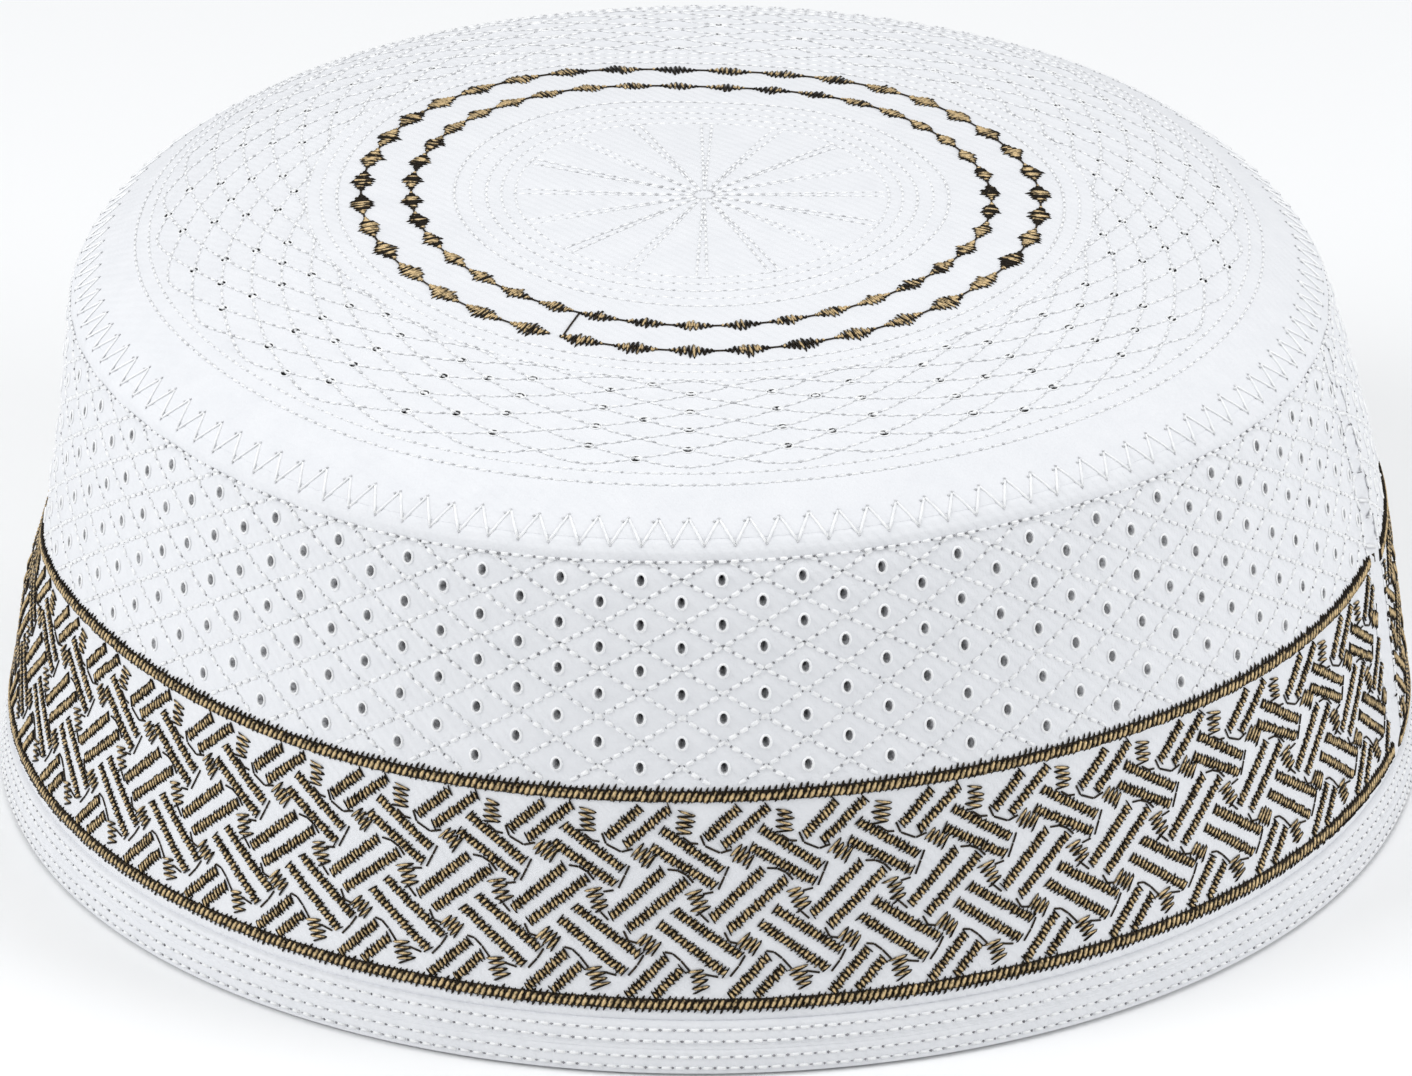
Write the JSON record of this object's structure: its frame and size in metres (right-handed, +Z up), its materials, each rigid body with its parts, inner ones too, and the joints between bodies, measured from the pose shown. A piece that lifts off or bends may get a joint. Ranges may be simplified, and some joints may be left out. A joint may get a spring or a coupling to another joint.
{
  "type": "kufi cap",
  "caption": "Soft white quilted cap with a domed round crown, a tapered side strip, a folded hem and a basketweave embroidered band between two raised gold border lines.",
  "frame": {"origin": "centre of the rim, on the surface that the cap rests on", "axes": "+Z up through the middle of the crown, -Y towards the picture's camera, +X to the right in the picture"},
  "size_m": [0.184, 0.184, 0.0788],
  "materials": {
    "crown_cloth": "matt quilted white cotton twill with white stitching",
    "side_cloth": "matt quilted white cotton twill with needle eyelets",
    "hem_cloth": "matt folded white cotton tape with four stitched rows",
    "gold_thread": "satin gold-brown embroidery thread",
    "white_thread": "slightly glossy white sewing thread"
  },
  "bodies": {
    "root": {"crown": "crown_cloth", "side_wall": "side_cloth", "rim_hem": "hem_cloth", "lower_border": "gold_thread", "upper_border": "gold_thread"}
  },
  "joints": []
}
